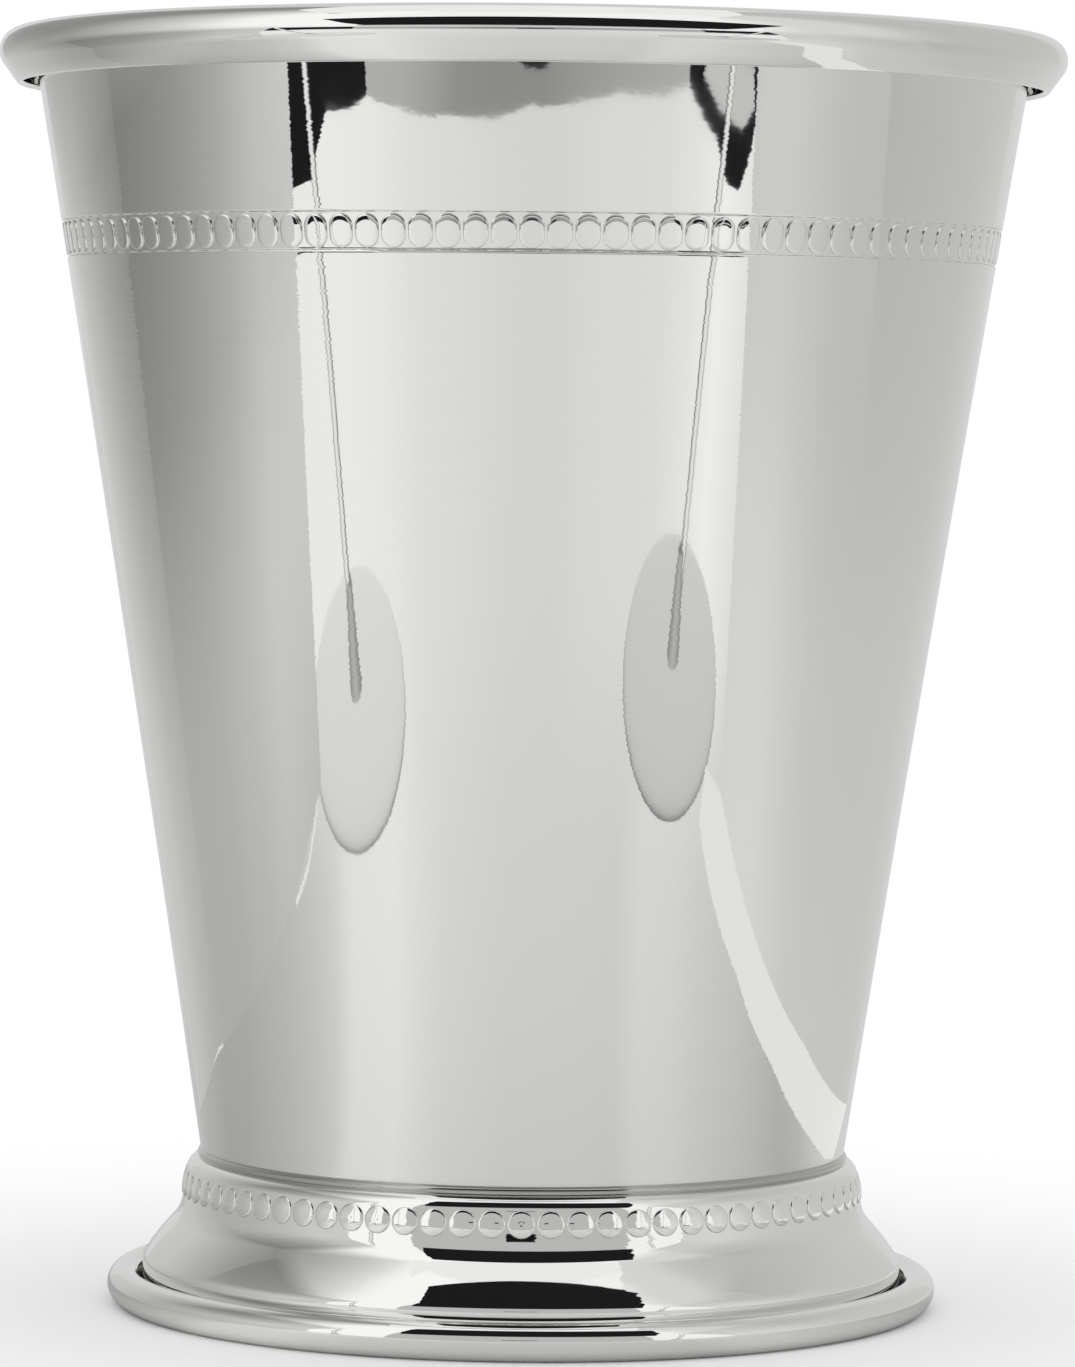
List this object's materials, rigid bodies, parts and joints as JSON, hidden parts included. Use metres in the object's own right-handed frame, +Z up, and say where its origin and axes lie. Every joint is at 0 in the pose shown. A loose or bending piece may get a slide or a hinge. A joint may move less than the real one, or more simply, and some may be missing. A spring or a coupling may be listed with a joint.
{
  "type": "julep cup",
  "caption": "Footed metal beaker with a flaring wall, a rolled rim, a band of raised studs and a beaded, hollow rolled foot.",
  "frame": {"origin": "middle of the flat ring that the foot rests on", "axes": "+Z up along the cup's axis, from the foot to the rim; the cup is round, so +X and +Y are free"},
  "size_m": [0.091, 0.091, 0.1086],
  "materials": {
    "plate": "mirror-polished silver plate on brass sheet",
    "solder": "polished solder, plated over"
  },
  "bodies": {
    "root": {"cup_body": "plate", "foot": "plate", "solder_seam": "solder"}
  },
  "joints": []
}
